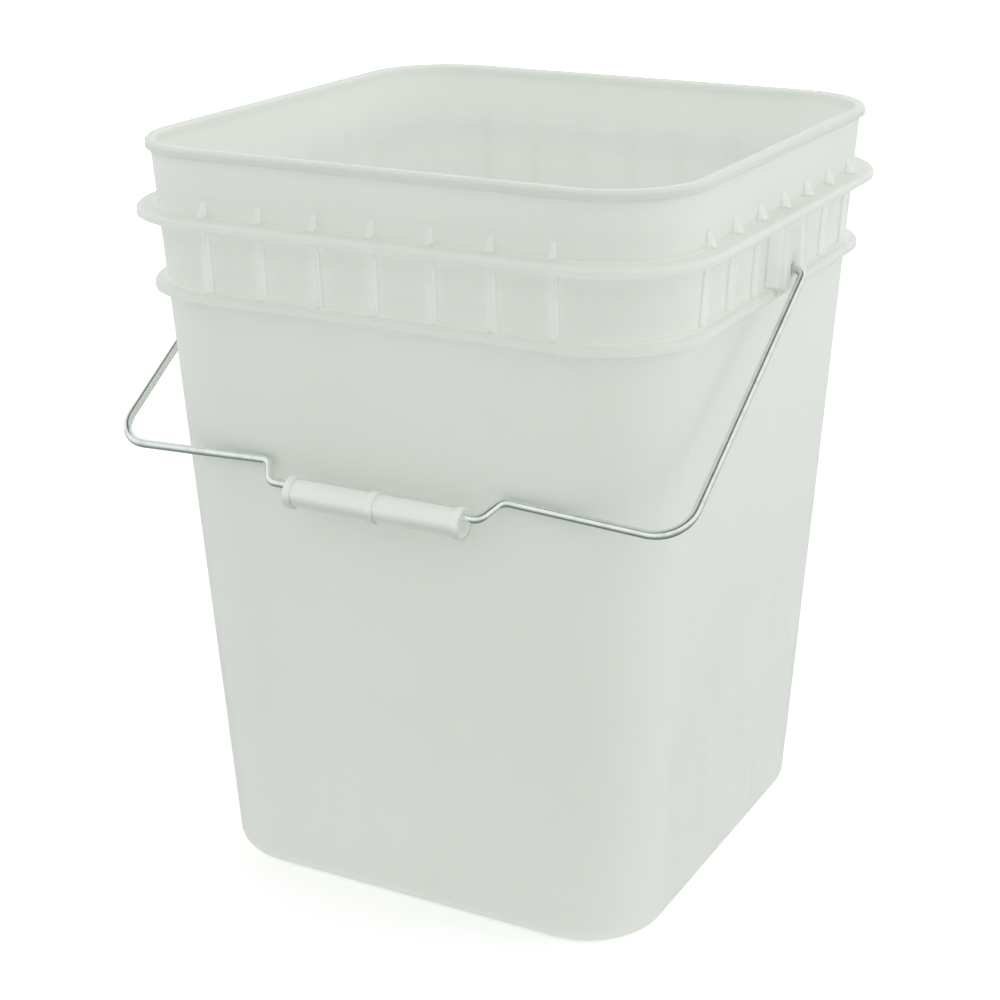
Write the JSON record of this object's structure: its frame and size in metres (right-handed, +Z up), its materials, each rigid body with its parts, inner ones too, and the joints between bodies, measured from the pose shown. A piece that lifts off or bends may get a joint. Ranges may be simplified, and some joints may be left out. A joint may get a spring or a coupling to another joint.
{
  "type": "square plastic bucket",
  "caption": "Tall square pail with round corners, a double-flanged ribbed neck, a beaded rim and a swinging wire bail with a loose plastic hand grip.",
  "frame": {"origin": "centre of the base, on the plane that the foot ring stands on", "axes": "+Z up, +X along the bail's pivot axis, -Y towards the front wall that the bail hangs against"},
  "size_m": [0.2774, 0.2726, 0.34],
  "materials": {
    "natural_plastic": "natural translucent polyethylene, satin, slightly green-grey white",
    "zinc_wire": "bright zinc-plated drawn steel wire",
    "white_plastic": "milky translucent white polyethylene, satin"
  },
  "bodies": {
    "bucket": {"bucket": "natural_plastic"},
    "bail": {"bail": "zinc_wire"},
    "grip": {"grip": "white_plastic"}
  },
  "joints": [
    {"name": "bail_swing", "type": "hinge", "parent": "bucket", "child": "bail", "pos_m": [0, 0, 0.2858], "axis": [-1, 0, 0], "range_deg": [0, 245.1]},
    {"name": "grip_spin", "type": "hinge", "parent": "bail", "child": "grip", "pos_m": [0.0016, -0.13112, 0.19902], "axis": [1, 0, 0], "continuous": true}
  ]
}
